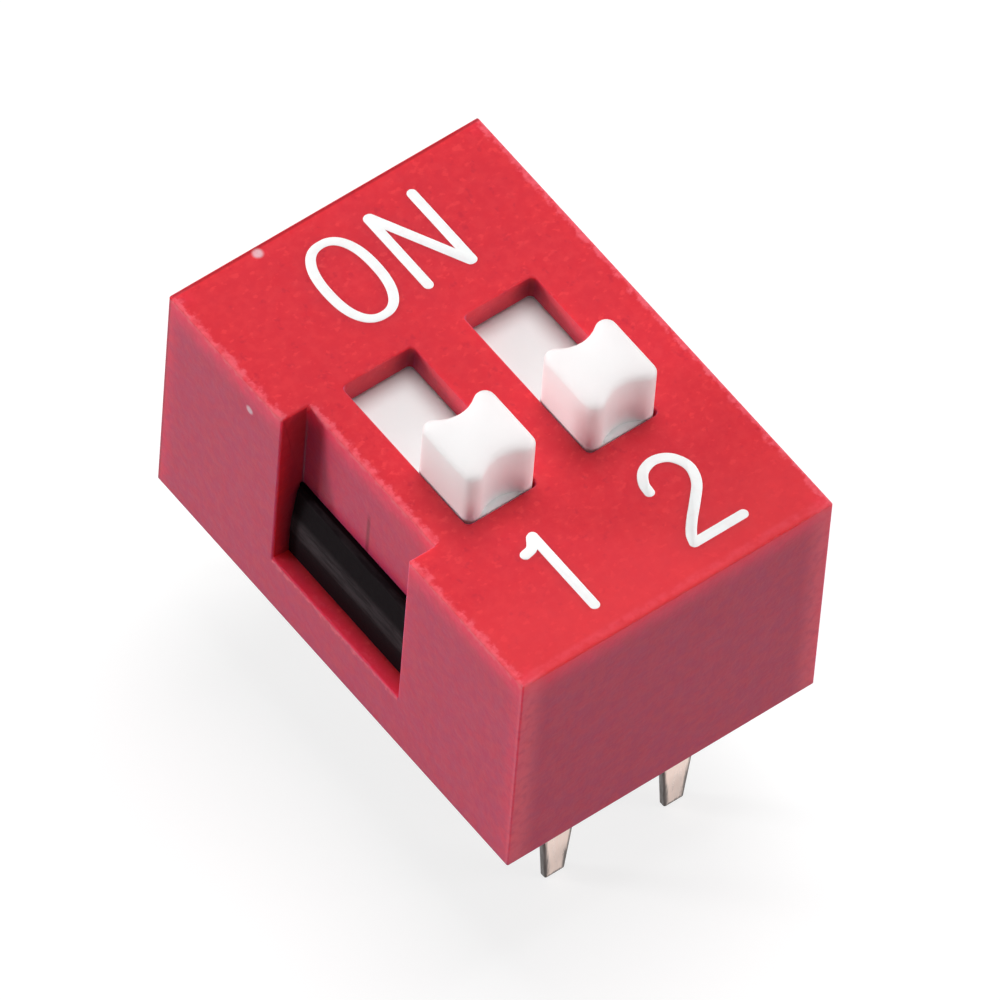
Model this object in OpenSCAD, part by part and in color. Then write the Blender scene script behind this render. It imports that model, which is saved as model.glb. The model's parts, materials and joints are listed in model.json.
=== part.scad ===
// Two-pole DIP switch with raised slide actuators, for through-hole boards.
// Poles run along X with pole 1 at the low end, the ON side is +Y, and +Z is up.
// The origin is the centre of the pin pattern on the seating plane, so the pins reach below Z = 0.

/* [Poles and pins] */
// Number of switch poles
poles = 2; // [1:1:12]
// Distance between neighbouring poles
pitch = 2.54; // [2.1:0.01:5.08]
// Distance between the two rows of pins
row_span = 7.62; // [5:0.01:12.7]
// Length of each pin below the seating plane
pin_length = 3.05; // [1.8:0.05:5]
// Width of each pin where it leaves the base
pin_width = 0.70; // [0.4:0.02:1]
// Width of each pin at its tip
pin_tip_width = 0.42; // [0.2:0.02:0.7]
// Length of the pin that narrows towards the tip
pin_taper = 1.6; // [0.4:0.1:2.6]
// Thickness of the terminal strip
strip_t = 0.15; // [0.1:0.01:0.35]

/* [Cover] */
// From the centre of an outer pole to the side face
side_margin = 1.98; // [1.8:0.01:3]
// Thickness of the two end walls
end_wall = 0.80; // [0.4:0.05:2]
// Thickness of the side walls beside the base
side_wall = 0.50; // [0.4:0.05:0.7]
// Thickness of the top
top_wall = 0.55; // [0.3:0.05:1]
// Radius of the upright edges and the top edges
edge_r = 0.08; // [0.04:0.01:0.3]
// Length of the latch windows in the side faces, and of the recess above pole 1's
recess_length = 3.5; // [1.5:0.1:6]
// Depth of that recess below the side face
recess_depth = 0.56; // [0.45:0.01:0.65]
// Height of the sill under each latch window
sill_height = 1.25; // [0.6:0.05:2]

/* [Base] */
// Height of the base's top face, which carries the contact pads
base_height = 3.0; // [2.4:0.1:4.5]
// How far the base's underside lies above the seating plane
base_lift = 0.10; // [0:0.05:0.4]
// Base material under the shoulders of each terminal
blade_seat = 0.50; // [0.4:0.05:0.8]
// Depth of the hollows in the base's underside
hollow_depth = 0.7; // [0.2:0.1:1.2]
// Wall between a hollow and the next hollow's middle, or the base's side
hollow_wall = 0.35; // [0.2:0.05:0.6]
// How far each latch hook stands out of the base
hook_reach = 0.23; // [0.1:0.01:0.4]
// Gap between a latch hook and the sill below it
hook_gap = 0.06; // [0.02:0.01:0.2]

/* [Slider] */
// Width of the knob, across its travel
knob_width = 1.46; // [1.1:0.02:1.8]
// Length of the knob, along its travel
knob_length = 1.46; // [1:0.02:2.5]
// Height of the knob above the cover
knob_height = 1.20; // [0.3:0.05:2.5]
// Radius of the knob's upright corners
knob_corner_r = 0.20; // [0.05:0.01:0.3]
// Radius of the knob's top edges
knob_edge_r = 0.11; // [0.05:0.01:0.2]
// Depth of the finger groove in the knob's front and back
groove_depth = 0.18; // [0.05:0.01:0.3]
// Travel from OFF to ON
travel = 2.0; // [1.4:0.05:3]
// How far the slider's plate reaches past the slot's far end
plate_lap = 0.32; // [0.1:0.01:1]
// Thickness of the slider's plate
plate_t = 0.67; // [0.4:0.01:1.2]
// Width of the slider's foot rails on each side of its contact
rail_width = 0.28; // [0.15:0.01:0.35]
// How far the slider stands past the knob on each side
shoulder = 0.22; // [0.1:0.01:0.4]

/* [Contacts] */
// Height of the hollow in the slider that holds its contact
pocket_height = 0.90; // [0.7:0.05:1.5]
// Thickness of the moving contact's strip
spring_t = 0.10; // [0.06:0.01:0.15]
// Gap between the moving contact and the slider's rail on each side
spring_side_gap = 0.12; // [0.05:0.01:0.2]
// Distance between the moving contact's two wiping points
wipe_span = 2.4; // [1.6:0.05:3]
// Bend radius at each wiping point, on the strip's outside
wipe_r = 0.22; // [0.15:0.01:0.3]
// Width of the fixed contact pads
pad_width = 1.10; // [0.8:0.02:1.25]
// Gap between the front pad and the back pad of a pole
pad_gap = 0.50; // [0.3:0.05:0.6]
// How far the front pad reaches past the wiping point nearest its end
pad_lap = 0.40; // [0.2:0.05:0.5]
// Diameter of the stake that holds the moving contact
stake_d = 0.36; // [0.2:0.02:0.5]

/* [Clearances] */
// Gap between the base and the cover
fit_gap = 0.03; // [0.01:0.01:0.08]
// Gap between a slider and what guides it
slide_gap = 0.03; // [0.01:0.01:0.08]
// Gap around a knob in its slot, at the sides and at both ends of the travel
knob_gap = 0.03; // [0.02:0.005:0.1]
// Gap between the slider's plate and the cover's top
plate_gap = 0.05; // [0.02:0.01:0.1]
// Gap around each terminal in the base
seat_gap = 0.01; // [0.005:0.005:0.03]
// Gap between a wiping point and its pad
wipe_gap = 0.01; // [0.005:0.005:0.02]

/* [Hidden] */
$fn = 64;
eps = 0.01;                                   // overshoot of a cut past the face it opens

// Node names follow the number of poles.
function numbered(stem) = [for (p = [1:poles]) str(stem, "_", p)];

// Heights, from the base upwards
pocket_top = base_height + slide_gap + pocket_height;
plate_top = pocket_top + plate_t;
cover_height = plate_top + plate_gap + top_wall;
knob_top = cover_height + knob_height;
cavity_top = base_height + fit_gap;

// The slider and its channel
slider_width = knob_width + 2 * shoulder;
slider_half = knob_length / 2 + travel + plate_lap;
channel_width = slider_width + 2 * slide_gap;
slot_width = knob_width + 2 * knob_gap;
slot_length = knob_length + travel + 2 * knob_gap;
off_y = -travel / 2;

// Inside and outside of the cover, as half sizes
pin_y = row_span / 2;
pin_edge = 0.13;                              // from a pin to the outside of the base
slider_reach = travel / 2 + slider_half + plate_gap;
pin_reach = pin_y + strip_t / 2 + pin_edge + fit_gap;
inner_half_y = max(slider_reach, pin_reach);
outer_half_y = inner_half_y + end_wall;
outer_half_x = (poles - 1) * pitch / 2 + side_margin;
inner_half_x = outer_half_x - side_wall;
base_half_x = inner_half_x - fit_gap;
base_half_y = inner_half_y - fit_gap;

// The latch hooks, as seen along Y
hook_bottom = sill_height + hook_gap;
hook_side_gap = 0.04;
hook_half_y = recess_length / 2 - hook_side_gap;
hook_bevel = 0.10;                            // how far the hook leans in towards its top
hook_chamfer = 0.06;                          // at the hook's top edge
hook_straight = 0.45;                         // share of the hook's height that is upright

// Terminals
pin_outside = pin_y + strip_t / 2;
blade_bottom = base_lift + blade_seat;        // the shoulder where the blade narrows to the pin
front_pad_end = abs(travel - wipe_span) / 2 + pad_lap;
back_pad_start = front_pad_end + pad_gap;

// The moving contact
stake_slack = 0.01;                           // gap above and below the strip on its stake
stake_clear = 0.03;                           // gap around the stake in its hole
stake_lip = 0.10;                             // how far the stake's head stands past its shank
stake_head_t = 0.10;
spring_width = slider_width - 2 * (rail_width + spring_side_gap);
spring_top = pocket_top - stake_slack;
spring_margin = 0.08;                         // from the stake's head to the first bend
spring_flat = stake_d / 2 + stake_lip + spring_margin;
spring_lift = 38;                             // rise of the free tips, in degrees
spring_tip = 0.24;                            // length of each free tip
finger_slit = 0.20;                           // gap between the two fingers of an arm
finger_root = 0.10;                           // uncut strip between the flat and that gap

// Underside of the base: a hollow under each pole, and a well round each pin
hollow_half_x = min(pitch / 2, side_margin - side_wall - fit_gap) - hollow_wall;
hollow_end = 0.75;                            // from a pin to the end of the hollow
hollow_half_y = pin_y - hollow_end;
well_depth = 0.30;
well_margin = 0.15;

function pole_x(p) = (p - (poles + 1) / 2) * pitch;

module rounded_rect(half_a, half_b, r) {
    square([2 * (half_a - r), 2 * half_b], center = true);
    square([2 * half_a, 2 * (half_b - r)], center = true);
    for (a = [-1, 1], b = [-1, 1]) translate([a * (half_a - r), b * (half_b - r)]) circle(r);
}

// A profile drawn in X and Z, extruded along Y and centred on Y = 0.
module along_y(length) {
    translate([0, length / 2, 0]) rotate([90, 0, 0]) linear_extrude(length) children();
}

// A profile drawn in Y and Z, extruded along X and centred on X = 0.
module along_x(length) {
    translate([-length / 2, 0, 0]) rotate([90, 0, 90]) linear_extrude(length) children();
}

// A block with the plan of its child and round top edges, standing on z0.
module soft_block(half_x, half_y, z0, z1, top_r) {
    height = z1 - z0;
    intersection() {
        translate([0, 0, z0]) linear_extrude(height) children();
        along_y(2 * half_y) translate([0, z0]) rounded_rect(half_x, height, top_r);
        along_x(2 * half_x) translate([0, z0]) rounded_rect(half_y, height, top_r);
    }
}

module box(x0, x1, y0, y1, z0, z1) {
    translate([x0, y0, z0]) cube([x1 - x0, y1 - y0, z1 - z0]);
}

// The same shape on both sides of the X = 0 plane.
module on_both_sides() {
    children();
    mirror([1, 0, 0]) children();
}

module cover() {
    color([0.86, 0.13, 0.16]) difference() {
        soft_block(outer_half_x, outer_half_y, 0, cover_height, edge_r)
            rounded_rect(outer_half_x, outer_half_y, edge_r);
        box(-inner_half_x, inner_half_x, -inner_half_y, inner_half_y, -eps, cavity_top);
        for (p = [1:poles]) translate([pole_x(p), 0, 0]) slider_channel();
        on_both_sides() latch_window();
        latch_recess();
    }
}

// The channel that a slider runs in, and the slot that its knob stands through.
module slider_channel() {
    box(-channel_width / 2, channel_width / 2, -inner_half_y, inner_half_y,
        cavity_top - eps, plate_top + plate_gap);
    box(-slot_width / 2, slot_width / 2, -slot_length / 2, slot_length / 2,
        plate_top, cover_height + eps);
}

// The window that a latch hook snaps into, open to the base.
module latch_window() {
    box(inner_half_x - eps, outer_half_x + eps, -recess_length / 2, recess_length / 2,
        sill_height, cavity_top);
}

// On pole 1's side the window runs on upwards as a recess that is open at the top.
module latch_recess() {
    box(-outer_half_x - eps, recess_depth - outer_half_x, -recess_length / 2, recess_length / 2,
        sill_height, cover_height + eps);
}

module base() {
    color([0.05, 0.05, 0.06]) difference() {
        union() {
            box(-base_half_x, base_half_x, -base_half_y, base_half_y, base_lift, base_height);
            on_both_sides() latch_hook();
        }
        for (p = [1:poles]) translate([pole_x(p), 0, 0]) {
            underside_hollow();
            terminal_seat(back_pad_start);
            mirror([0, 1, 0]) terminal_seat(-front_pad_end);
        }
    }
}

// A hook that snaps into the cover's window, upright below and leaning in above.
module latch_hook() {
    reach = base_half_x + hook_reach;
    bend = hook_bottom + hook_straight * (base_height - hook_bottom);
    along_y(2 * hook_half_y) polygon([
        [base_half_x - eps, hook_bottom],
        [reach, hook_bottom],
        [reach, bend],
        [reach - hook_bevel, base_height - hook_chamfer],
        [reach - hook_bevel - hook_chamfer, base_height],
        [base_half_x - eps, base_height]
    ]);
}

module underside_hollow() {
    box(-hollow_half_x, hollow_half_x, -hollow_half_y, hollow_half_y,
        base_lift - eps, base_lift + hollow_depth);
}

// Everything that one terminal of the +Y row needs cut out of the base.
module terminal_seat(pad_from) {
    half_pad = pad_width / 2 + seat_gap;
    half_pin = pin_width / 2 + seat_gap;
    outside = pin_outside + seat_gap;
    inside = pin_outside - strip_t - seat_gap;
    box(-half_pad, half_pad, pad_from - seat_gap, outside,
        base_height - strip_t - seat_gap, base_height + eps);
    box(-half_pad, half_pad, inside, outside, blade_bottom - seat_gap, base_height);
    box(-half_pin, half_pin, inside, outside, base_lift - eps, blade_bottom);
    box(-half_pin - well_margin, half_pin + well_margin, inside - well_margin,
        outside + pin_edge / 2, base_lift - eps, base_lift + well_depth);
}

// One terminal of the +Y row: a contact pad, a bend, a blade with a shoulder, and the pin.
module terminal(pad_from) {
    color([0.80, 0.76, 0.72]) {
        along_x(pad_width) bent_strip(pad_from);
        translate([0, pin_y, 0]) along_y(strip_t) pin_outline();
    }
}

module bent_strip(pad_from) {
    bend_y = pin_outside - strip_t;
    bend_z = base_height - strip_t;
    translate([pad_from, bend_z]) square([bend_y - pad_from, strip_t]);
    translate([bend_y, blade_bottom]) square([strip_t, bend_z - blade_bottom]);
    intersection() {
        translate([bend_y, bend_z]) circle(strip_t);
        translate([bend_y, bend_z]) square(strip_t);
    }
}

// The pin seen along Y. It starts inside the blade, so that the two are one piece.
module pin_outline() {
    half = pin_width / 2;
    half_tip = pin_tip_width / 2;
    root = blade_bottom + strip_t;
    narrowing = pin_taper - pin_length;
    polygon([
        [-half, root], [half, root], [half, narrowing],
        [half_tip, -pin_length], [-half_tip, -pin_length], [-half, narrowing]
    ]);
}

module slider() {
    color([0.94, 0.94, 0.93]) {
        difference() {
            box(-slider_width / 2, slider_width / 2, -slider_half, slider_half,
                base_height + slide_gap, plate_top);
            box(rail_width - slider_width / 2, slider_width / 2 - rail_width,
                -slider_half - eps, slider_half + eps, base_height, pocket_top);
        }
        knob();
        contact_stake();
    }
}

module knob() {
    soft_block(knob_width / 2, knob_length / 2, plate_top - eps, knob_top, knob_edge_r)
        knob_plan();
}

// A round lobe at each corner, with a finger groove at the front and the back. The groove's
// radius is the one at which its arc runs smoothly into the lobes.
module knob_plan() {
    lobe_x = knob_width / 2 - knob_corner_r;
    lobe_y = knob_length / 2 - knob_corner_r;
    groove_floor = knob_corner_r - groove_depth;
    groove_r = (pow(lobe_x, 2) + pow(groove_floor, 2) - pow(knob_corner_r, 2))
        / (2 * groove_depth);
    meet_x = lobe_x * groove_r / (groove_r + knob_corner_r);
    square([knob_width, 2 * lobe_y], center = true);
    for (a = [-1, 1], b = [-1, 1]) translate([a * lobe_x, b * lobe_y]) circle(knob_corner_r);
    difference() {
        square([2 * meet_x, knob_length], center = true);
        for (end = [-1, 1]) translate([0, end * (lobe_y + groove_floor + groove_r)])
            circle(groove_r);
    }
}

// A stake through the moving contact, with a head that keeps the contact on it.
module contact_stake() {
    under_spring = spring_top - spring_t - stake_slack;
    translate([0, 0, under_spring - stake_head_t])
        cylinder(h = pocket_top - under_spring + stake_head_t + eps, d = stake_d);
    translate([0, 0, under_spring - stake_head_t])
        cylinder(h = stake_head_t, d = stake_d + 2 * stake_lip);
}

// The centreline of one arm of the moving contact: a flat, a slope, a round wiping point
// and a free tip that leads it over the edge of a pad.
function spring_arm() =
    let (
        r = wipe_r - spring_t / 2,
        corner = [spring_flat, spring_top - spring_t / 2],
        centre = [wipe_span / 2, base_height + wipe_gap + wipe_r],
        to_centre = centre - corner,
        slope = atan2(to_centre[1], to_centre[0]) - asin(r / norm(to_centre)),
        steps = 10,
        arc = [for (i = [0:steps])
            let (a = slope - 90 + (spring_lift - slope) * i / steps)
            centre + r * [cos(a), sin(a)]],
        tip = arc[steps] + spring_tip * [cos(spring_lift), sin(spring_lift)]
    )
    concat([corner], arc, [tip]);

function mirrored_path(path) =
    concat([for (i = [len(path) - 1:-1:0]) [-path[i][0], path[i][1]]], path);

function across(v) = [-v[1], v[0]] / norm(v);

// The sideways step at a point of the path that keeps the strip one unit wide on each side.
function miter(path, i) =
    let (
        here = max(i, 1),
        next = min(i + 1, len(path) - 1),
        before = across(path[here] - path[here - 1]),
        after = across(path[next] - path[next - 1]),
        middle = (before + after) / norm(before + after)
    )
    middle / (middle * before);

function strip(path, t) = concat(
    [for (i = [0:len(path) - 1]) path[i] + miter(path, i) * t / 2],
    [for (i = [len(path) - 1:-1:0]) path[i] - miter(path, i) * t / 2]);

// The moving contact: one bent strip with two fingers at each end.
module contact() {
    color([0.85, 0.68, 0.32]) difference() {
        along_x(spring_width) polygon(strip(mirrored_path(spring_arm()), spring_t));
        translate([0, 0, spring_top - 2 * spring_t])
            cylinder(h = 3 * spring_t, d = stake_d + 2 * stake_clear);
        for (end = [0, 1]) mirror([0, end, 0])
            box(-finger_slit / 2, finger_slit / 2, spring_flat + finger_root,
                slider_half, base_height, pocket_top);
    }
}

cover();
base();
for (p = [1:poles]) {
    at_pole = [pole_x(p), 0, 0];
    at_slider = [pole_x(p), off_y, 0];
    translate(at_slider) slider();
    translate(at_slider) contact();
    translate(at_pole) mirror([0, 1, 0]) terminal(-front_pad_end);
    translate(at_pole) terminal(back_pad_start);
}
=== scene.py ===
"""Two-pole slide switch for circuit boards: a red cover over a black base, white sliders with
raised knobs, gold contacts and tinned terminals. Each piece is built round the packed frame,
in millimetres, and set down in metres."""
import json
import math
import random
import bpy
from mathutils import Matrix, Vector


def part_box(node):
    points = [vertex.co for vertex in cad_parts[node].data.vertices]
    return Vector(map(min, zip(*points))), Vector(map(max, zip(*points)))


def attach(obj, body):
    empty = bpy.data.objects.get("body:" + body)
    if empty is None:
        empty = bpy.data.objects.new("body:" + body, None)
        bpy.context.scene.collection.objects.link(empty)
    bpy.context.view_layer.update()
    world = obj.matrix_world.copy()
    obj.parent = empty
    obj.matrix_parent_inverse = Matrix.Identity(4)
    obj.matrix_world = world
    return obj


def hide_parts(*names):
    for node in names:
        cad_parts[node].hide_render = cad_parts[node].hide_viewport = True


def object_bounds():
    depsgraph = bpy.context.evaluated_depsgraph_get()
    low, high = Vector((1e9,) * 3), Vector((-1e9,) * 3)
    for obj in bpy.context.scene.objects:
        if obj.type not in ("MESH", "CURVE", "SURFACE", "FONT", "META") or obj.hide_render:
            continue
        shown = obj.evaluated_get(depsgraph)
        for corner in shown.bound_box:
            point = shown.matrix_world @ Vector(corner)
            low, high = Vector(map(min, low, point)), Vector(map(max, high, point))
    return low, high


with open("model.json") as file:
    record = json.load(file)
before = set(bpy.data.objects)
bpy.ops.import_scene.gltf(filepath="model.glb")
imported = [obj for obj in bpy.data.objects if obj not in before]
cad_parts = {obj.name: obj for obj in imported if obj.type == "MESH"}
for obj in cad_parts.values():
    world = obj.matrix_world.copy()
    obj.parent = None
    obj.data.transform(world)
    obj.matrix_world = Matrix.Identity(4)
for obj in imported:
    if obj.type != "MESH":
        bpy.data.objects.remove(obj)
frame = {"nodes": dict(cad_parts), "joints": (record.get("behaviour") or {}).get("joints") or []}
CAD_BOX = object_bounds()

from types import SimpleNamespace

import bmesh
import bpy
from mathutils import Matrix, Vector

bl_info = {
    "name": "Slide Switch",
    "version": (1, 0, 0),
    "blender": (4, 5, 0),
    "location": "View3D > Sidebar > Slide Switch",
    "description": "Builds the pieces of a two-pole slide switch round its packed frame",
    "category": "Add Mesh",
}

MM = 0.001                      # metres in a millimetre
QUARTER = math.pi / 2           # a quarter turn
SHARP = math.radians(30)        # edges that turn further than this can be rounded
ROUNDED = math.radians(8)       # faces that turn further than this from a neighbour round an edge
CREASE = math.radians(50)       # edges that turn further than this are shaded sharp
NARROW = 0.05                   # how narrow a face is that rounds an edge
NEAR = 0.004                    # how close two places lie that count as the same
PAST = 0.05                     # how far a cutter reaches past the face that it opens
SUNK = 0.2                      # how far a shape reaches into the body that it is joined to
HOUSING = "housing"


# ---------------------------------------------------------------------------
# Settings

def length(name, description, millimetres):
    """A size that the panel shows in the scene's units."""
    return bpy.props.FloatProperty(
        name=name, description=description, default=millimetres * MM, min=0,
        precision=6, subtype="DISTANCE", unit="LENGTH")


def colour(name, description, rgb):
    """A linear colour."""
    return bpy.props.FloatVectorProperty(
        name=name, description=description, default=rgb, min=0, max=1, size=3, subtype="COLOR")


def strength(name, description, default):
    """The strength of a lamp or of the surroundings."""
    return bpy.props.FloatProperty(name=name, description=description, default=default, min=0)


class CoverSettings(bpy.types.PropertyGroup):
    """The red cover."""
    end_wall: length("End wall", "Thickness of the two end walls", 0.80)
    side_wall: length("Side wall", "Thickness of the side walls beside the base", 0.50)
    top_wall: length("Top wall", "Thickness of the top", 0.55)
    edge_radius: length("Edge radius", "Radius of the upright and top edges", 0.035)
    recess_length: length("Recess length", "Length of the latch windows and the recess", 3.50)
    recess_depth: length("Recess depth", "Depth of the recess on pole 1's side", 0.56)
    sill_height: length("Sill height", "Height of the sill under each latch window", 1.25)
    rim_radius: length("Rim radius", "Radius of the outer edges of the recess and the windows", 0.045)
    slot_radius: length("Slot radius", "Radius of the slots' top edges", 0.03)
    slot_corner: length("Slot corner", "Radius of the slots' upright corners", 0.10)
    corner_fillet: length("Corner fillet", "Radius in the upright corners of the recess", 0.03)
    foot_radius: length("Foot radius", "Radius of the edges that stand on the board", 0.025)
    plastic: colour("Plastic", "Colour of the moulded plastic", (0.715, 0.036, 0.051))
    # Painted shade and bluish sheen: the upright faces are painted darker and bluer than the top.
    side: colour("Side", "Colour of the upright faces", (0.575, 0.038, 0.099))
    light_fleck: colour("Light fleck", "Colour of the lighter grain", (0.82, 0.060, 0.070))
    dark_fleck: colour("Dark fleck", "Colour of the darker grain", (0.52, 0.022, 0.045))
    # Painted light: this colour and the two widths after it paint a glow along the upright edges,
    # under the top edges and on the recess's sills.
    pale: colour("Pale edge", "Colour of the thinner plastic near the edges", (0.97, 0.045, 0.10))
    pale_band: length("Pale band", "Width of the paler band at an upright edge", 0.45)
    bright_band: length("Bright band", "Width of the paler band under a top edge", 0.70)
    # Painted highlight along the top edges, the upright corners and behind the front edge.
    rubbed: colour("Rubbed edge", "Colour of the rubbed edges", (0.90, 0.130, 0.17))
    # Painted shade along the far edges, on the recess's end walls, beside its shadowed strip and in
    # the slots' far corners; also the colour of the mark on the recess's panel.
    grime: colour("Grime", "Colour of the dark corners and far edges", (0.22, 0.012, 0.022))
    # Width of the painted highlight along a top edge.
    rubbed_band: length("Rubbed band", "Width of the rubbed band at a top edge", 0.15)
    nick: colour("Nick", "Colour of the plastic where it was knocked", (0.80, 0.52, 0.56))
    glow: length("Glow", "How far light spreads inside the plastic", 0.70)


class BaseSettings(bpy.types.PropertyGroup):
    """The black base that closes the cover from below."""
    fit_gap: length("Fit gap", "Gap between the base and the cover", 0.03)
    hook_reach: length("Hook reach", "How far each latch hook stands out", 0.23)
    hook_gap: length("Hook gap", "Gap between a hook and the sill below it", 0.06)
    hook_side_gap: length("Hook side gap", "Gap at each end of a hook", 0.04)
    hook_lean: length("Hook lean", "How far the hook leans in towards its top", 0.10)
    hook_bend: length("Hook bend", "Height over which a hook bends to its lean", 0.35)
    hook_chamfer: length("Hook chamfer", "Chamfer along a hook's top edge", 0.06)
    hook_edge: length("Hook edge", "Radius of the hooks' other edges", 0.03)
    edge_radius: length("Edge radius", "Radius of the base's edges", 0.05)
    hollow_depth: length("Hollow depth", "Depth of the hollows underneath", 0.70)
    hollow_wall: length("Hollow wall", "Wall beside each hollow", 0.35)
    hollow_end: length("Hollow end", "From a pin's middle to the end of its hollow", 0.75)
    hollow_corner: length("Hollow corner", "Radius of the hollows' upright corners", 0.12)
    well_depth: length("Well depth", "Depth of the well round each pin", 0.30)
    well_margin: length("Well margin", "Space beside each pin in its well", 0.15)
    well_outer: length("Well outer", "Space on the outer side of each pin in its well", 0.065)
    seat_gap: length("Seat gap", "Gap round each terminal", 0.01)
    blade_seat: length("Blade seat", "Base material under each terminal's shoulder", 0.50)
    plastic: colour("Plastic", "Colour of the moulded plastic", (0.0075, 0.0048, 0.0060))
    # Painted highlight across the hooks' faces, and scuffs on the base's rounded edges.
    scuff: colour("Scuff", "Colour of the rubbed band on the hooks", (0.052, 0.040, 0.044))


class SliderSettings(bpy.types.PropertyGroup):
    """The white sliders."""
    shoulder: length("Shoulder", "How far the slider stands past the knob on each side", 0.22)
    knob_length: length("Knob length", "Length of the knob along its travel", 1.46)
    lobe_radius: length("Lobe radius", "Radius of the knob's upright corners", 0.20)
    groove_depth: length("Groove depth", "Depth of the finger groove at each end", 0.18)
    knob_edge: length("Knob edge", "Radius of the knob's top edge", 0.12)
    crown: length("Crown", "How far the knob's top swells above its rim", 0.01)
    root_fillet: length("Root fillet", "Radius where the knob meets its plate", 0.045)
    plate: length("Plate", "Thickness of the slider's plate", 0.67)
    rail_width: length("Rail width", "Width of the foot rails", 0.28)
    edge_radius: length("Edge radius", "Radius of the slider's long edges", 0.04)
    slide_gap: length("Slide gap", "Gap between a slider and its channel", 0.03)
    knob_gap: length("Knob gap", "Gap between a knob and its slot", 0.012)
    web_inset: length("Web inset", "How far the web in the grooves keeps inside the knob", 0.01)
    web_drop: length("Web drop", "How far the web's top keeps below the cover's", 0.03)
    contact_gap: length("Contact gap", "Gap above and below the contact in the slider", 0.01)
    stake: length("Stake", "Diameter of the stake that holds the contact", 0.36)
    stake_lip: length("Stake lip", "How far the stake's head stands past it", 0.10)
    stake_head: length("Stake head", "Thickness of the stake's head", 0.10)
    head_chamfer: length("Head chamfer", "Chamfer round the stake's head", 0.03)
    plastic: colour("Plastic", "Colour of the moulded plastic", (0.935, 0.985, 0.985))
    plate_glow: length("Plate glow", "How far light spreads inside the plate", 0.08)
    glow: length("Glow", "How far light spreads inside the knob", 0.8)


class MetalSettings(bpy.types.PropertyGroup):
    """The terminals and the moving contacts."""
    strip: length("Strip", "Thickness of the terminal strip", 0.15)
    pin_width: length("Pin width", "Width of each pin where it leaves the base", 0.70)
    tip_width: length("Tip width", "Width of each pin at its tip", 0.42)
    taper: length("Taper", "Length of the pin that narrows", 1.60)
    strip_edge: length("Strip edge", "Radius of the terminals' long edges", 0.035)
    spring: length("Spring", "Thickness of the moving contact", 0.10)
    spring_edge: length("Spring edge", "Radius of the moving contacts' long edges", 0.02)
    stake_gap: length("Stake gap", "Gap between a moving contact and its stake", 0.03)
    wipe_span: length("Wiping span", "Distance between the two wiping points", 2.40)
    wipe_radius: length("Wiping radius", "Outside bend radius at each wiping point", 0.22)
    tip_length: length("Tip length", "Length of each free tip", 0.24)
    slit: length("Slit", "Gap between the two fingers of an arm", 0.20)
    slit_start: length("Slit start", "From the contact's flat middle to each slit", 0.10)
    spring_flat: length("Spring flat", "Half the length of the contact's flat middle", 0.36)
    tin: colour("Tin", "Colour of the tinned strip", (0.985, 0.78, 0.69))
    # Painted shade on the strip's sideways-facing sides and round the pins' faces.
    soot: colour("Soot", "Colour of the sheared sides and the pins' rims", (0.05, 0.028, 0.022))
    cut_edge: colour("Cut edge", "Colour of the strip's worn corners", (0.10, 0.075, 0.065))
    gold: colour("Gold", "Colour of the plated contact", (0.86, 0.60, 0.24))


class LegendSettings(bpy.types.PropertyGroup):
    """The printed legend."""
    stroke: length("Stroke", "Width of the printed lines", 0.19)
    ink_height: length("Ink height", "Thickness of the ink", 0.008)
    middle: length("Middle", "From the cover's middle to the middle of each line of print", 3.39)
    ink: colour("Ink", "Colour of the ink", (0.96, 0.97, 0.97))


class StageSettings(bpy.types.PropertyGroup):
    """Floor, lamps and surroundings."""
    floor: colour("Floor", "Colour of the floor", (0.27, 0.27, 0.27))
    glow: strength("Floor glow", "How white the floor looks apart from the light on it", 0.79)
    sky: strength("Sky", "Strength of the light from all round", 0.10)
    back: strength("Back lamp", "Strength of the high lamp behind the switch", 2.4)
    left: strength("Left lamp", "Strength of the low lamp on pole 1's side", 2.15)
    right: strength("Right lamp", "Strength of the low lamp on the other side", 1.58)


SETTINGS = {
    "switch_cover": CoverSettings,
    "switch_base": BaseSettings,
    "switch_slider": SliderSettings,
    "switch_metal": MetalSettings,
    "switch_legend": LegendSettings,
    "switch_stage": StageSettings,
}


def sizes(name):
    """A settings group with its lengths in millimetres and its colours as tuples."""
    group = getattr(bpy.context.scene, name)
    values = {}
    for prop in group.bl_rna.properties:
        value = getattr(group, prop.identifier)
        if prop.type != "FLOAT":
            continue
        if prop.unit == "LENGTH":
            value = value / MM
        elif prop.is_array:
            value = tuple(value)
        values[prop.identifier] = value
    return SimpleNamespace(**values)


def box_of(node):
    """Lowest and highest corner of a frame node, in millimetres."""
    low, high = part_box(node)
    return low / MM, high / MM


POLES = sorted(int(name.split("_")[1]) for name in frame["nodes"] if name.startswith("slider_"))
TRAVEL = frame["joints"][0]["range_m"][1] / MM


def pole_x(pole):
    """Where a pole's slider, contact and terminals stand."""
    low, high = box_of(f"slider_{pole}")
    return (low.x + high.x) / 2


def recess_panel(cover):
    """Where the panel behind the recess stands."""
    return box_of("cover")[0].x + cover.recess_depth


def slot_half(slider):
    """Half the width and half the length of the slot that a knob stands through."""
    low, high = box_of(f"slider_{POLES[0]}")
    return ((high.x - low.x) / 2 - slider.shoulder + slider.knob_gap,
            (slider.knob_length + TRAVEL) / 2 + slider.knob_gap)


def hook_bottom(base, cover):
    """Height of the hooks' lower faces."""
    return cover.sill_height + base.hook_gap


def plate_top(slider):
    """Height of the top of the sliders' plates."""
    return box_of(f"contact_{POLES[0]}")[1].z + slider.contact_gap + slider.plate


# ---------------------------------------------------------------------------
# Meshes, in millimetres

def heading(angle):
    """The direction at an angle in a plane."""
    return Vector((math.cos(angle), math.sin(angle)))


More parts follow.
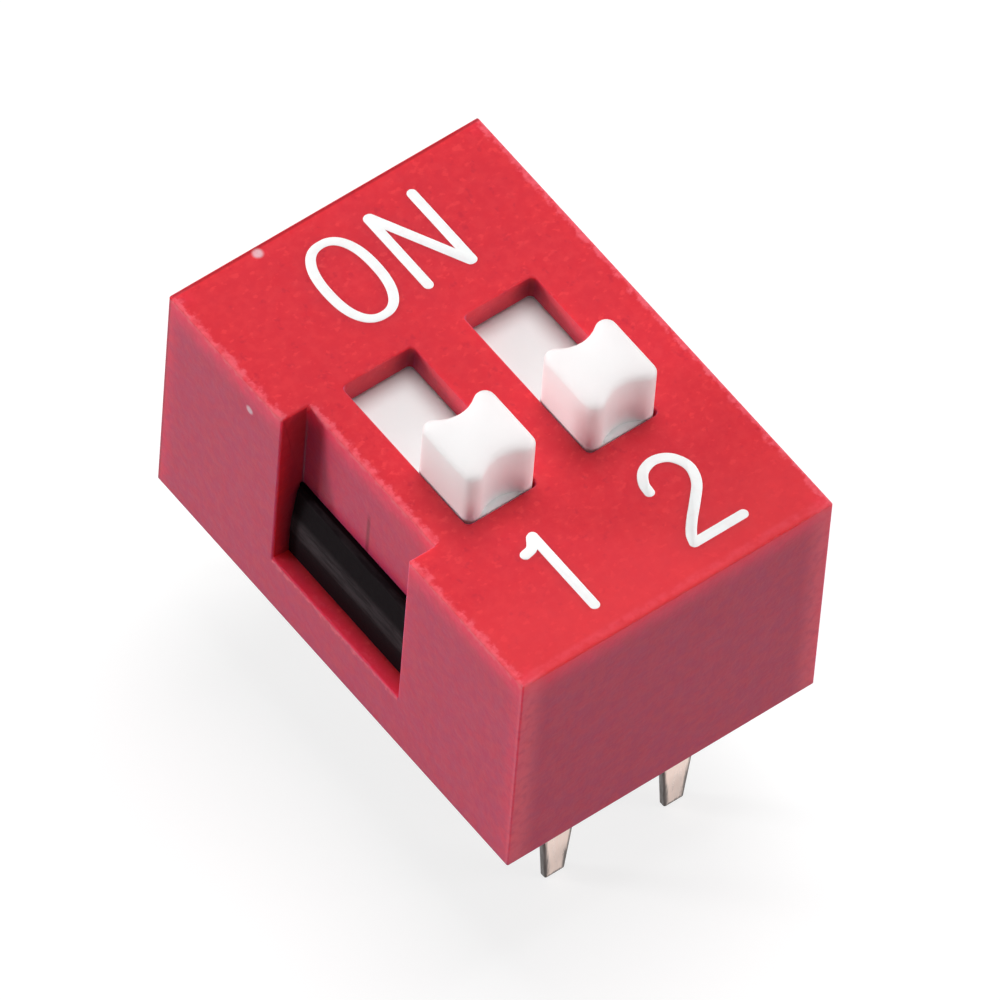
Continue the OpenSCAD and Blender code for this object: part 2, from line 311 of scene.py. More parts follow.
def spaced(start, stop, steps):
    """Evenly spaced numbers from start to stop."""
    return [start + (stop - start) * i / steps for i in range(steps + 1)]


def block(corner, opposite):
    """A plain box between two opposite corners."""
    bm = bmesh.new()
    bmesh.ops.create_cube(bm, size=1)
    spans = [sorted(span) for span in zip(corner, opposite)]
    for vert in bm.verts:
        vert.co = Vector(span[c > 0] for span, c in zip(spans, vert.co))
    return bm


def slab(x, half, ys, zs):
    """A plain box that reaches half to each side of x, between two places in Y and in Z."""
    return block((x - half, ys[0], zs[0]), (x + half, ys[1], zs[1]))


def loft(rings, closed=False):
    """A solid through rings of points: capped at both ends, or closed into a loop."""
    bm = bmesh.new()
    loops = [[bm.verts.new(point) for point in ring] for ring in rings]
    pairs = list(zip(loops, loops[1:]))
    if closed:
        pairs.append((loops[-1], loops[0]))
    for low, high in pairs:
        for i in range(len(low)):
            j = (i + 1) % len(low)
            bm.faces.new((low[i], low[j], high[j], high[i]))
    if not closed:
        bm.faces.new(reversed(loops[0]))
        bm.faces.new(loops[-1])
    bmesh.ops.recalc_face_normals(bm, faces=bm.faces)
    return bm


def disc(x, y, levels, steps=32):
    """A turned solid about an upright axis, through (height, radius) levels."""
    round_once = spaced(0, 2 * math.pi, steps)[:-1]
    return loft([
        [(x + radius * math.cos(a), y + radius * math.sin(a), z) for a in round_once]
        for z, radius in levels])


def scratch_object(bm):
    """A throwaway object, which uses the bmesh up."""
    mesh = bpy.data.meshes.new("scratch")
    bm.to_mesh(mesh)
    bm.free()
    made = bpy.data.objects.new("scratch", mesh)
    bpy.context.scene.collection.objects.link(made)
    return made


def combine(bm, other, operation):
    """bm joined with other (UNION), or with other cut out (DIFFERENCE). Uses both up."""
    body, tool = scratch_object(bm), scratch_object(other)
    modifier = body.modifiers.new("combine", "BOOLEAN")
    modifier.object = tool
    modifier.operation = operation
    modifier.solver = "EXACT"
    result = bmesh.new()
    result.from_object(body, bpy.context.evaluated_depsgraph_get())
    for used in (body, tool):
        mesh = used.data
        bpy.data.objects.remove(used)
        bpy.data.meshes.remove(mesh)
    return result


def cut(bm, *tools):
    """bm with each tool cut out of it."""
    for tool in tools:
        bm = combine(bm, tool, "DIFFERENCE")
    return tidied(bm)


def tidied(bm):
    """Merges doubled corners and joins faces that lie in one plane."""
    bmesh.ops.remove_doubles(bm, verts=bm.verts, dist=1e-4)
    bmesh.ops.dissolve_limit(
        bm, angle_limit=math.radians(0.2), verts=bm.verts, edges=bm.edges)
    return bm


def soften(bm, radius, where, segments=4, inner=False):
    """Rounds each sharp outer edge, or inner corner, that where() picks by its two ends."""
    side = -1 if inner else 1
    edges = [
        edge for edge in bm.edges
        if len(edge.link_faces) == 2 and side * edge.calc_face_angle_signed() > SHARP
        and where(*(vert.co for vert in edge.verts))]
    bmesh.ops.bevel(
        bm, geom=edges, offset=radius, offset_type="OFFSET", segments=segments,
        profile=0.5, affect="EDGES", clamp_overlap=False)
    return bm


def both(test):
    """Picks the edges both of whose ends pass a test."""
    return lambda a, b: test(a) and test(b)


def is_upright(a, b):
    """Picks the edges that stand upright."""
    return abs(a.x - b.x) < NEAR and abs(a.y - b.y) < NEAR


def mark_edges(bm):
    """Marks the narrow faces that round an edge, so that the materials can wear them."""
    layer = bm.faces.layers.float.new("edge")
    for face in bm.faces:
        width = face.calc_area() / max(edge.calc_length() for edge in face.edges)
        turns = [
            edge.calc_face_angle_signed() for edge in face.edges if len(edge.link_faces) == 2]
        face[layer] = float(width < NARROW and max(turns, default=0) > ROUNDED)


def piece(name, bm, material, body, slot, *nodes):
    """Sets a finished bmesh down in metres as a piece that stands for some frame nodes."""
    mark_edges(bm)
    bmesh.ops.scale(bm, vec=(MM, MM, MM), verts=bm.verts)
    mesh = bpy.data.meshes.new(name)
    bm.to_mesh(mesh)
    bm.free()
    mesh.materials.append(material)
    mesh.shade_smooth()
    mesh.set_sharp_from_angle(angle=CREASE)
    made = bpy.data.objects.new(name, mesh)
    bpy.context.scene.collection.objects.link(made)
    weighted = made.modifiers.new("even shading", "WEIGHTED_NORMAL")
    weighted.keep_sharp = True
    weighted.weight = 100       # the largest faces decide
    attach(made, body)
    if nodes:
        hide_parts(*nodes)


# ---------------------------------------------------------------------------
# Materials

class Value:
    """A number or a colour that a node works out. Arithmetic on it adds the nodes for it."""

    def __init__(self, nodes, socket):
        # Builds the whole switch.
        self.nodes = nodes
        self.socket = socket

    def __getitem__(self, name):
        """Another output of the same node."""
        return Value(self.nodes, self.socket.node.outputs[name])

    def math(self, operation, *others):
        """What an operation makes of this and others."""
        return self.nodes.add("ShaderNodeMath", self, *others, operation=operation)

    def __add__(self, other):
        return self.math("ADD", other)

    def __sub__(self, other):
        return self.math("SUBTRACT", other)

    def __rsub__(self, other):
        return self.nodes.add("ShaderNodeMath", other, self, operation="SUBTRACT")

    def __mul__(self, other):
        return self.math("MULTIPLY", other)

    def __abs__(self):
        return self.math("ABSOLUTE")

    def below(self, limit):
        """1 where this is below a limit, and 0 elsewhere."""
        return self.math("LESS_THAN", limit)

    def ramp(self, low, high, to_low=0.0, to_high=1.0):
        """Runs smoothly from to_low to to_high while this runs from low to high."""
        return self.nodes.add(
            "ShaderNodeMapRange", self, low, high, to_low, to_high,
            interpolation_type="SMOOTHSTEP")

    def spread(self, to_low, to_high):
        """Runs from to_low to to_high over most of a noise's own range."""
        return self.ramp(0.3, 0.7, to_low, to_high)

    def split(self):
        """The three numbers of a point."""
        parts = self.nodes.add("ShaderNodeSeparateXYZ", self)
        return [parts[axis] for axis in "XYZ"]

    def noise(self, scale, detail=2.0, roughness=0.5, stretch=(1.0, 1.0, 1.0)):
        """A soft noise at a point. A part of stretch under 1 draws it out along that axis."""
        place = self
        if stretch != (1.0, 1.0, 1.0):
            place = self.nodes.add("ShaderNodeVectorMath", self, stretch, operation="MULTIPLY")
        return self.nodes.add("ShaderNodeTexNoise", place, scale, detail, roughness)

    def near(self, spot, radius, soft):
        """1 near a spot, fading to 0 over soft to each side of radius."""
        away = self.nodes.add("ShaderNodeVectorMath", self, spot, operation="DISTANCE")
        return away.ramp(radius - soft, radius + soft, 1, 0)


def least(first, *others):
    """The least of some values."""
    for other in others:
        first = first.math("MINIMUM", other)
    return first


def most(first, *others):
    """The greatest of some values."""
    for other in others:
        first = first.math("MAXIMUM", other)
    return first


class Nodes:
    """A short way to write the nodes of a material or of the surroundings."""

    def __init__(self, owner):
        self.owner = owner
        owner.use_nodes = True
        self.tree = owner.node_tree
        self.tree.nodes.clear()
        kind = "World" if isinstance(owner, bpy.types.World) else "Material"
        self.output = self.tree.nodes.new(f"ShaderNodeOutput{kind}")

    def add(self, kind, *values, **named):
        """Adds a node and gives its first output. values fill its sockets in order, and named
        ones are its settings where the name is lower-case and its sockets where it isn't."""
        node = self.tree.nodes.new(kind)
        for name in filter(str.islower, named):
            setattr(node, name, named[name])
        sockets = [socket for socket in node.inputs if socket.enabled]
        for socket, value in zip(sockets, values):
            self.feed(socket, value)
        by_name = {socket.name.replace(" ", "_"): socket for socket in sockets}
        for name, value in named.items():
            if not name.islower():
                self.feed(by_name[name], value)
        return Value(self, next(socket for socket in node.outputs if socket.enabled))

    def feed(self, socket, value):
        """Sets a socket to a plain value, or links it to what a node works out."""
        if isinstance(value, Value):
            self.tree.links.new(value.socket, socket)
        elif isinstance(value, tuple) and socket.type == "RGBA":
            socket.default_value = (*value, 1)
        else:
            socket.default_value = value

    def edge(self):
        """How much the point lies on a rounded edge."""
        return self.add("ShaderNodeAttribute", attribute_name="edge")["Fac"]

    def paint(self, tone, *layers):
        """Lays (colour, amount) layers over a colour."""
        for colour_over, amount in layers:
            tone = self.add("ShaderNodeMix", amount, tone, colour_over, data_type="RGBA")
        return tone

    def bump(self, height, strength, depth):
        """The normal of a surface with a relief, whose depth is in millimetres."""
        return self.add("ShaderNodeBump", Height=height, Strength=strength, Distance=depth * MM)

    def end(self, shader):
        """Ends the tree in a shader, and gives the material."""
        self.feed(self.output.inputs["Surface"], shader)
        return self.owner

    def surface(self, **sockets):
        """Ends the tree in one Principled shader, and gives the material."""
        return self.end(self.add("ShaderNodeBsdfPrincipled", **sockets))


def start_material(name):
    """The nodes of a new material, and the point on the piece in millimetres."""
    nodes = Nodes(bpy.data.materials.new(name))
    point = nodes.add("ShaderNodeTexCoord")["Object"]
    return nodes, nodes.add("ShaderNodeVectorMath", point, 1 / MM, operation="SCALE")


def darker(rgb, share):
    """A share of a colour, or of each of its three numbers."""
    shares = share if isinstance(share, tuple) else (share,) * 3
    return tuple(c * s for c, s in zip(rgb, shares))


# Knocked spots on the cover: place in millimetres, the way its face looks, and radius. A chip
# is smaller than its spot, and its middle stands out from the face, both by a share of it.
NICKS = [
    ((-1.50, 4.75, 5.20), (0, 0, 1), 0.09),
    ((-3.25, 2.60, 4.55), (-1, 0, 0), 0.08),
]
CHIP_RADIUS = 0.55
CHIP_LIFT = 0.45


def cover_places(look, place):
    """How far a point lies from each face and edge of the cover, in millimetres."""
    high = box_of("cover")[1]
    half = look.recess_length / 2
    at = SimpleNamespace(place=place)
    at.x, at.y, at.z = place.split()
    at.side = high.x - abs(at.x)
    at.end = high.y - abs(at.y)
    at.front = at.y + high.y
    at.back = high.y - at.y
    at.top = high.z - at.z
    at.panel = abs(at.x - recess_panel(look))
    at.sill = abs(at.z - look.sill_height)
    at.wall = abs(abs(at.y) - half)
    at.in_recess = abs(at.y).below(half)
    elsewhere = 1 - at.in_recess
    at.beside = least(at.side, at.panel + elsewhere)    # from a side face, or the recess's panel
    at.level = least(at.top, at.sill + elsewhere)       # from the top, or the recess's sill
    at.upright = (least(at.side, at.end, at.panel).ramp(0.02, 0.05, 1, 0)
                  * at.top.ramp(0.01, 0.06))
    return at


def grain_layers(look, at, grain):
    """Cloudy plastic with lighter and darker flecks, and painted light towards the front."""
    return [
        (look.light_fleck, grain.mottle.ramp(0.40, 0.66, 0, 0.35)),
        (look.light_fleck, grain.fleck.ramp(0.58, 0.70, 0, 0.8)),
        (look.dark_fleck, grain.dark.ramp(0.60, 0.74, 0, 0.4)),
        # Painted light: lighter towards the front.
        (look.light_fleck, at.front.ramp(2.3, 0.5, 0, 0.55)),
        (look.dark_fleck, grain.cloud.ramp(0.35, 0.65, 0, 0.12)),
    ]


def side_layers(look, at, grain):
    """Painted shade and bluish sheen on the upright faces, and painted light along their edges and
    under the top.
    """
    # Painted light along the upright edges.
    corner = most(at.side, at.end).ramp(0.02, look.pale_band, 1, 0)
    # Painted light in a band under the top edge.
    under_top_light = at.top + grain.mottle.spread(-0.10, 0.10)
    under_top_light = under_top_light.ramp(0, look.bright_band, 0.85, 0)
    return [
        # Painted shade and bluish sheen on the upright faces.
        (look.side, at.upright * grain.mottle.ramp(0.36, 0.64, 0.95, 0.65)),
        (look.pale, corner * grain.mottle.ramp(0.3, 0.6, 0.15, 0.35)),
        (look.pale, under_top_light * at.upright),
    ]


def rubbed_layers(look, at, grain):
    """Painted highlights along the top edges and upright corners, and a painted highlight line behind
    the front edge.
    """
    ragged = most(at.beside, at.level) + grain.ragged.spread(-0.05, 0.07)
    # Painted highlights, ragged along the edges.
    top_edge_highlight = ragged.ramp(0.3 * look.rubbed_band, look.rubbed_band, 1, 0)
    arris_highlight = most(at.side, at.end * 5.5).ramp(0.15, 0.60, 0.7, 0)
    front_highlight = most(abs(at.front - 0.13), at.top).ramp(0.02, 0.12, 1, 0)
    return [
        (look.rubbed, most(top_edge_highlight, arris_highlight) * grain.fleck.ramp(0.3, 0.6, 0.45, 0.95)),
        (look.rubbed, front_highlight * grain.mottle.ramp(0.3, 0.6, 0.02, 0.25)),
    ]


def recess_layers(look, at):
    """Painted shade along the back edges and on the recess's end walls, and painted light on its
    sills.
    """
    low, high = box_of("cover")
    panel_x = recess_panel(look)
    # Painted shade along the far top and upright edges at the back.
    back_shade = most(at.back, least(at.top, at.side)).ramp(0.04, 0.10, 0.75, 0)
    # Painted shade on the recess's end walls, darker towards the bottom.
    inwards = at.x.ramp(low.x + 0.04, panel_x - 0.2) * at.x.below(panel_x + 0.02)
    wall = at.wall.ramp(0.01, 0.03, 1, 0) * inwards
    wall *= at.top.ramp(0.04, high.z - look.sill_height, 0.25, 0.6) * at.top.ramp(0.02, 0.05)
    # Painted light on the recess's sills, brightest at their outer edge.
    sill = at.sill.ramp(0.01, 0.04, 1, 0) * at.in_recess * at.side.ramp(0, 0.35, 0.9, 0)
    return [(look.grime, back_shade), (look.grime, wall), (look.pale, sill)]


def dirt_layers(look, at, slot_x, slot_y):
    """On the recess's panel an upright mark that fades out at its top and a painted shadow with a
    slanting edge, and painted shade in one far corner of each slot."""
    mark_y, mark_top = -0.02, 4.2
    mark = abs(at.y - mark_y).ramp(0.01, 0.07, 1, 0) * at.z.ramp(mark_top - 0.4, mark_top, 0.7, 0)
    # Painted shadow beside the shadowed strip at the recess's end, widening downwards.
    slant, shadow_edge, shadow_end = 0.3, -0.22, 1.35
    slant_shadow = (at.y - at.z * slant).ramp(shadow_edge, shadow_edge + 0.3, 0, 0.65)
    slant_shadow *= at.y.ramp(shadow_end - 0.15, shadow_end, 1, 0)
    layers = [(look.grime, most(mark, slant_shadow) * at.panel.ramp(0.02, 0.04, 1, 0))]
    # Painted shade in one far corner of each slot.
    slot_shade = at.top.ramp(0.02, 0.08, 0, 0.8)
    for pole in POLES:
        spot = (pole_x(pole) + slot_x, slot_y, box_of("cover")[1].z - 0.3)
        layers.append((look.grime, at.place.near(spot, 0.30, 0.28) * slot_shade))
    return layers


def red_plastic(look, slider):
    """Matt red plastic with a mottled grain, a little dirt and some nicks, and painted light, shade
    and highlights. Light spreads in it.
    """
    nodes, place = start_material("red_plastic")
    at = cover_places(look, place)
    grain = SimpleNamespace(
        cloud=place.noise(1.3, 3),
        bloom=place.noise(1.4, 2, 0.6),
        mottle=place.noise(5.0, 3, 0.6),
        fleck=place.noise(6.0, 2, 0.55, (1.0, 1.25, 1.0)),
        dark=place.noise(4.5, 2, 0.6, (1.2, 1.0, 1.1)),
        ragged=place.noise(6.5, 3, 0.6),
        fine=place.noise(10.0, 3, 0.6))
    struck = grain.mottle.ramp(0.3, 0.6, 0.6, 0.95)
    tone = nodes.paint(
        look.plastic,
        *grain_layers(look, at, grain),
        *side_layers(look, at, grain),
        *rubbed_layers(look, at, grain),
        *recess_layers(look, at),
        *dirt_layers(look, at, *slot_half(slider)),
        *((look.nick, place.near(spot, radius, radius * CHIP_LIFT) * struck)
          for spot, _, radius in NICKS))
    haze = grain.bloom.ramp(0.35, 0.65, 0.20, 0.32) * (nodes.edge() + 1)
    haze *= most(at.top, at.end).ramp(0.02, 0.20) * most(at.top, at.beside).ramp(0.03, 0.08)
    relief = grain.fine + grain.mottle * 1.5
    return nodes.surface(
        Base_Color=tone, Roughness=grain.fleck.spread(0.28, 0.38),
        Normal=nodes.bump(relief, 0.2, 0.010), Specular_IOR_Level=0.12,
        Sheen_Weight=haze, Sheen_Roughness=0.4, Sheen_Tint=(0.35, 0.30, 0.90),
        Subsurface_Weight=nodes.edge() * 0.5 + 0.5, Subsurface_Radius=(1.0, 0.15, 0.18),
        Subsurface_Scale=look.glow * MM)


def black_plastic(look, cover):
    """Black plastic with a painted highlight band across the face of the hooks, and scuffed edges."""
    nodes, place = start_material("black_plastic")
    x, _, z = place.split()
    high = box_of("base")[1]
    body_x = high.x - look.hook_reach
    middle = (hook_bottom(look, cover) + high.z) / 2
    streak = place.noise(6.0, 3, 0.6, (1.0, 0.35, 2.0))
    # Painted highlight: a soft band across the middle of each hook's face.
    band = abs(z - middle).ramp(0.08, 0.30, 0.8, 0) * streak.ramp(0.3, 0.65, 0.35, 1)
    band *= abs(x).ramp(body_x + 0.08, body_x + 0.14)
    worn = nodes.edge() * streak.ramp(0.35, 0.65, 0.05, 0.25)
    return nodes.surface(
        Base_Color=nodes.paint(look.plastic, (look.scuff, band), (look.scuff, worn)),
        Roughness=place.noise(8.0, 3).spread(0.30, 0.42),
        Normal=nodes.bump(place.noise(16.0, 3, 0.6), 0.4, 0.006),
        Specular_IOR_Level=0.01)


def white_plastic(look):
    """White nylon. Light spreads in it a little, so its edges and sides glow, and its plate, deep in
    the slot, is painted a little cooler and duller as shade."""
    nodes, place = start_material("white_plastic")
    z = place.split()[2]
    cloud = place.noise(2.2, 3)
    # Painted shade: the plate, deep in the slot, is tinted cooler and duller.
    plate_shade = (z - plate_top(look)).ramp(0, 0.15, 1, 0)
    above_cover = z - box_of("cover")[1].z
    tone = nodes.paint(
        look.plastic,
        (darker(look.plastic, 0.97), cloud.spread(0, 0.5)),
        (darker(look.plastic, (0.93, 1.0, 1.0)), plate_shade))
    return nodes.surface(
        Base_Color=tone, Roughness=place.noise(7.0, 3).spread(0.34, 0.46),
        Normal=nodes.bump(place.noise(12.0, 3, 0.6), 0.3, 0.006),
        Subsurface_Weight=1.0, Subsurface_Radius=(1.0, 1.0, 1.0),
        Subsurface_Scale=above_cover.ramp(0.05, 0.80, look.plate_glow * MM, look.glow * MM))


def tinned_strip(look):
    """Tinned strip with a drawn grain and darker worn corners, with painted shade on its
    sideways-facing sheared sides and in a rim round the pins' faces."""
    nodes, place = start_material("tinned_strip")
    drawn = place.noise(5.0, 4, 0.6, (4.0, 4.0, 0.5))
    blotch = place.noise(2.6, 3)
    # Painted shade on the faces that face sideways.
    facing_x = nodes.add("ShaderNodeNewGeometry")["Normal"].split()[0]
    sheared = abs(facing_x).ramp(0.55, 0.8, 0, 0.95)
    worn = nodes.edge() * blotch.ramp(0.3, 0.6, 0.6, 0.95)
    x, _, z = place.split()
    pin_end = box_of(f"front_terminal_{POLES[0]}")[0].z
    half = z.ramp(pin_end, pin_end + look.taper, look.tip_width / 2, look.pin_width / 2)
    off_centre = abs(abs(x) - max(map(pole_x, POLES)))
    # Painted shade in a rim round the edges and tip of each pin's faces.
    rim_shade = least(half - off_centre, z - pin_end) + drawn.spread(-0.02, 0.02)
    rim_shade = rim_shade.ramp(0.03, 0.10, 0.9, 0) * z.below(0.0)
    tone = nodes.paint(
        look.tin,
        (darker(look.tin, 0.72), blotch.ramp(0.35, 0.7, 0, 0.2)),
        (look.soot, sheared), (look.cut_edge, worn), (look.soot, rim_shade))
    return nodes.surface(
        Base_Color=tone, Metallic=1.0, Roughness=drawn.spread(0.26, 0.42),
        Normal=nodes.bump(drawn, 0.35, 0.006))


def gold_strip(look):
    """Gold-plated spring strip, rolled along its length."""
    nodes, place = start_material("gold_strip")
    rolled = place.noise(5.0, 4, 0.6, (4.0, 0.4, 4.0))
    shade = (darker(look.gold, 0.8), rolled.ramp(0.35, 0.7, 0, 0.6))
    return nodes.surface(
        Base_Color=nodes.paint(look.gold, shade), Metallic=1.0,
        Roughness=rolled.spread(0.2, 0.34), Normal=nodes.bump(rolled, 0.3, 0.004))


def white_ink(look):
    """Matt white print, thin enough here and there to let a little red through."""
    nodes, place = start_material("white_ink")
    thin = place.noise(6.0, 3, 0.6)
    shade = (darker(look.ink, (0.97, 0.90, 0.90)), thin.ramp(0.45, 0.75, 0, 0.6))
    return nodes.surface(
        Base_Color=nodes.paint(look.ink, shade), Roughness=thin.spread(0.5, 0.62),
        Normal=nodes.bump(thin, 0.3, 0.006))


def seen_directly(nodes):
    """1 for rays from the camera, and for those that a gloss or a glass sends on."""
    path = nodes.add("ShaderNodeLightPath")
    return most(path["Is Camera Ray"], path["Is Glossy Ray"], path["Is Transmission Ray"])


def floor_paper(look):
    """Pale paper that looks white outside the shadows, and can't be seen from below."""
    nodes = Nodes(bpy.data.materials.new("floor_paper"))
    matt = nodes.add("ShaderNodeBsdfDiffuse", look.floor)
    glow = nodes.add("ShaderNodeEmission", (look.glow,) * 3, seen_directly(nodes))
    paper = nodes.add("ShaderNodeAddShader", matt, glow)
    clear = nodes.add("ShaderNodeBsdfTransparent")
    from_below = nodes.add("ShaderNodeNewGeometry")["Backfacing"]
    return nodes.end(nodes.add("ShaderNodeMixShader", from_below, paper, clear))


# ---------------------------------------------------------------------------
# Cover

def cover_mesh(size, base, slider):
    """The cover: a shell that is open below, with a slider channel and a slot for each pole,
    a latch window in each side and the recess over one of them."""
    low, high = box_of("cover")
    slider_low, slider_high = box_of(f"slider_{POLES[0]}")
    inner_x, inner_y = high.x - size.side_wall, high.y - size.end_wall
    cavity_top = box_of("base")[1].z + base.fit_gap
    channel_top = high.z - size.top_wall
    channel_half = (slider_high.x - slider_low.x) / 2 + slider.slide_gap
    slot_x, slot_y = slot_half(slider)
    half = size.recess_length / 2
    panel_x = recess_panel(size)
    shell = block(low, high)
    soften(shell, size.edge_radius, lambda a, b: max(a.z, b.z) > low.z + NEAR, 6)
    tools = [slab(0, inner_x, (-inner_y, inner_y), (low.z - PAST, cavity_top))]
    for pole in POLES:
        x = pole_x(pole)
        tools.append(slab(x, channel_half, (-inner_y, inner_y), (cavity_top - PAST, channel_top)))
        slot = slab(x, slot_x, (-slot_y, slot_y), (channel_top - PAST, high.z + PAST))
        tools.append(soften(slot, size.slot_corner, is_upright, 5))
    for side in (-1, 1):
        tools.append(block((side * (inner_x - PAST), -half, size.sill_height),
                           (side * (high.x + PAST), half, cavity_top)))
    tools.append(block((low.x - PAST, -half, cavity_top - NEAR), (panel_x, half, high.z + PAST)))
    shell = cut(shell, *tools)

    def on_rim(p):
        outside = abs(p.x) > high.x - size.edge_radius - NEAR
        on_top = p.z > high.z - NEAR and p.x < panel_x + NEAR
        return abs(p.y) < half + NEAR and p.z > size.sill_height - NEAR and (outside or on_top)

    def on_slot_rim(p):
        return (p.z > high.z - NEAR and p.x > panel_x + NEAR and abs(p.x) < inner_x
                and abs(p.y) < half + PAST)

    def at_panel_end(p):
        return abs(p.x - panel_x) < NEAR and abs(abs(p.y) - half) < NEAR

    soften(shell, size.corner_fillet,
           lambda a, b: is_upright(a, b) and both(at_panel_end)(a, b), inner=True)
    soften(shell, size.rim_radius, both(on_rim))
    soften(shell, size.slot_radius, both(on_slot_rim))
    soften(shell, size.foot_radius, both(lambda p: p.z < low.z + NEAR))
    for seed, (spot, out, radius) in enumerate(NICKS):
        middle = Vector(spot) + Vector(out) * radius * CHIP_LIFT
        shell = combine(shell, chip(middle, radius * CHIP_RADIUS, seed), "DIFFERENCE")
    return shell


def chip(spot, radius, seed):
    """A small rough lump, cut out where the plastic was knocked."""
    dice = random.Random(seed)
    bm = bmesh.new()
    bmesh.ops.create_icosphere(bm, subdivisions=2, radius=radius)
    for vert in bm.verts:
        vert.co = Vector(spot) + vert.co * dice.uniform(0.7, 1.05)
    return bm


# ---------------------------------------------------------------------------
# Base

def base_mesh(size, cover, metal):
    """The base: a block with a hook on each side, hollowed underneath, with a seat for each
    terminal."""
    low, high = box_of("base")
    body_x = high.x - size.hook_reach
    body = slab(0, body_x, (low.y, high.y), (low.z, high.z))
    for side in (-1, 1):
        body = combine(body, hook(size, cover, side, body_x), "UNION")
    tools = []
    for pole in POLES:
        tools.append(underside_hollow(size, metal, pole_x(pole), body_x))
        for row in ("back", "front"):
            tools.extend(terminal_seat(size, metal, row, pole))
    body = cut(tidied(body), *tools)
    bottom = hook_bottom(size, cover)
    soften(body, size.edge_radius,
           both(lambda p: abs(p.x) > body_x - NEAR and p.z < low.z + NEAR))
    soften(body, size.hook_edge,
           both(lambda p: abs(p.x) > body_x + PAST - NEAR and p.z > bottom - NEAR))
    return body


KNEE = 0.45                     # height of a hook's knee, as a share of the hook's


def hook(size, cover, side, body_x):
    """A hook that snaps into the cover's window: upright, then a soft knee, then leaning in."""
    high = box_of("base")[1]
    bottom = hook_bottom(size, cover)
    top = high.z - size.hook_chamfer
    knee = bottom + KNEE * (high.z - bottom)
    root_x, leant_x = body_x - PAST, high.x - size.hook_lean
    slope = size.hook_lean / (top - knee)
    outline = [(root_x, bottom), (high.x, bottom)]
    for t in spaced(0, 1, 8):
        outline.append((high.x - slope * size.hook_bend * t * t / 2,
                        knee + size.hook_bend * (t - 0.5)))
    outline += [(leant_x, top), (leant_x - size.hook_chamfer, high.z), (root_x, high.z)]
    half = cover.recess_length / 2 - size.hook_side_gap
    return loft([[(side * a, y, z) for a, z in outline] for y in (-half, half)])


def underside_hollow(size, metal, x, body_x):
    """The hollow between the two pins of a pole."""
    low = box_of("base")[0]
    pitch = (pole_x(POLES[-1]) - pole_x(POLES[0])) / (len(POLES) - 1)
    half = min(pitch / 2, body_x - pole_x(POLES[-1])) - size.hollow_wall
    pin_y = box_of(f"back_terminal_{POLES[0]}")[1].y - metal.strip / 2
    reach = pin_y - size.hollow_end
    tool = slab(x, half, (-reach, reach), (low.z - PAST, low.z + size.hollow_depth))
    return soften(tool, size.hollow_corner, is_upright)


def terminal_seat(size, metal, row, pole):
    """Cutters for the pocket, the blade slot, the pin hole and the well of one terminal."""
    low, high = box_of("base")
    node_low, node_high = box_of(f"{row}_terminal_{pole}")
    x = pole_x(pole)
    end = 1 if row == "back" else -1
    gap, margin = size.seat_gap, size.well_margin
    half_pad = (node_high.x - node_low.x) / 2 + gap
    half_pin = metal.pin_width / 2 + gap
    outside = max(abs(node_low.y), abs(node_high.y)) + gap
    inside = outside - metal.strip - 2 * gap
    pad_from = end * (node_low.y if end > 0 else node_high.y) - gap
    shoulder = low.z + size.blade_seat
    cutters = [
        (half_pad, pad_from, outside, high.z - metal.strip - gap, high.z + PAST),
        (half_pad, inside, outside, shoulder - gap, high.z),
        (half_pin, inside, outside, low.z - PAST, shoulder),
        (half_pin + margin, inside - margin, outside + size.well_outer, low.z - PAST,
         low.z + size.well_depth),
    ]
    return [slab(x, half, (end * y0, end * y1), (z0, z1)) for half, y0, y1, z0, z1 in cutters]


# ---------------------------------------------------------------------------
# Sliders

def knob_plan(half_x, half_y, radius, groove, steps=8):
    """Places round the knob with their outward directions: a round lobe at each corner and a
    groove across each end, whose arc runs smoothly into the lobes."""
    lobe_x, lobe_y = half_x - radius, half_y - radius
    floor = radius - groove
    groove_r = (lobe_x ** 2 + floor ** 2 - radius ** 2) / (2 * groove)
    turn = math.atan2(floor + groove_r, -lobe_x)
    half = []

    def arc(x, y, r, start, stop, outward):
        for angle in spaced(start, stop, steps):
            spot = Vector((x, y)) + heading(angle) * r
            if not half or (spot - half[-1][0]).length > 1e-6:
                half.append((spot, heading(angle) * outward))

    arc(lobe_x, lobe_y, radius, 0, turn, 1)
    arc(0, lobe_y + floor + groove_r, groove_r, turn + math.pi, 2 * math.pi - turn, -1)
    arc(-lobe_x, lobe_y, radius, math.pi - turn, math.pi, 1)
    return half + [(-spot, -out) for spot, out in half]


def knob_mesh(size, centre, half_x, root, top):
    """The knob: a filleted root, upright sides, a round top edge and a slightly crowned top."""
    plan = knob_plan(half_x, size.knob_length / 2, size.lobe_radius, size.groove_depth)
    fillet, edge = size.root_fillet, size.knob_edge
    shoulder = top - size.crown - edge
    quarter = spaced(0, QUARTER, 5)

    def ring(z, inset, share=1):
        return [(*(centre + (spot - out * inset) * share), z) for spot, out in plan]

    return loft([
        ring(root - SUNK, -fillet),
        *(ring(root + fillet * (1 - math.cos(a)), fillet * (math.sin(a) - 1)) for a in quarter),
        *(ring(shoulder + edge * math.sin(a), edge * (1 - math.cos(a))) for a in quarter),
        *(ring(top - size.crown * share ** 2, edge, share) for share in (0.85, 0.65, 0.4, 0.15))])


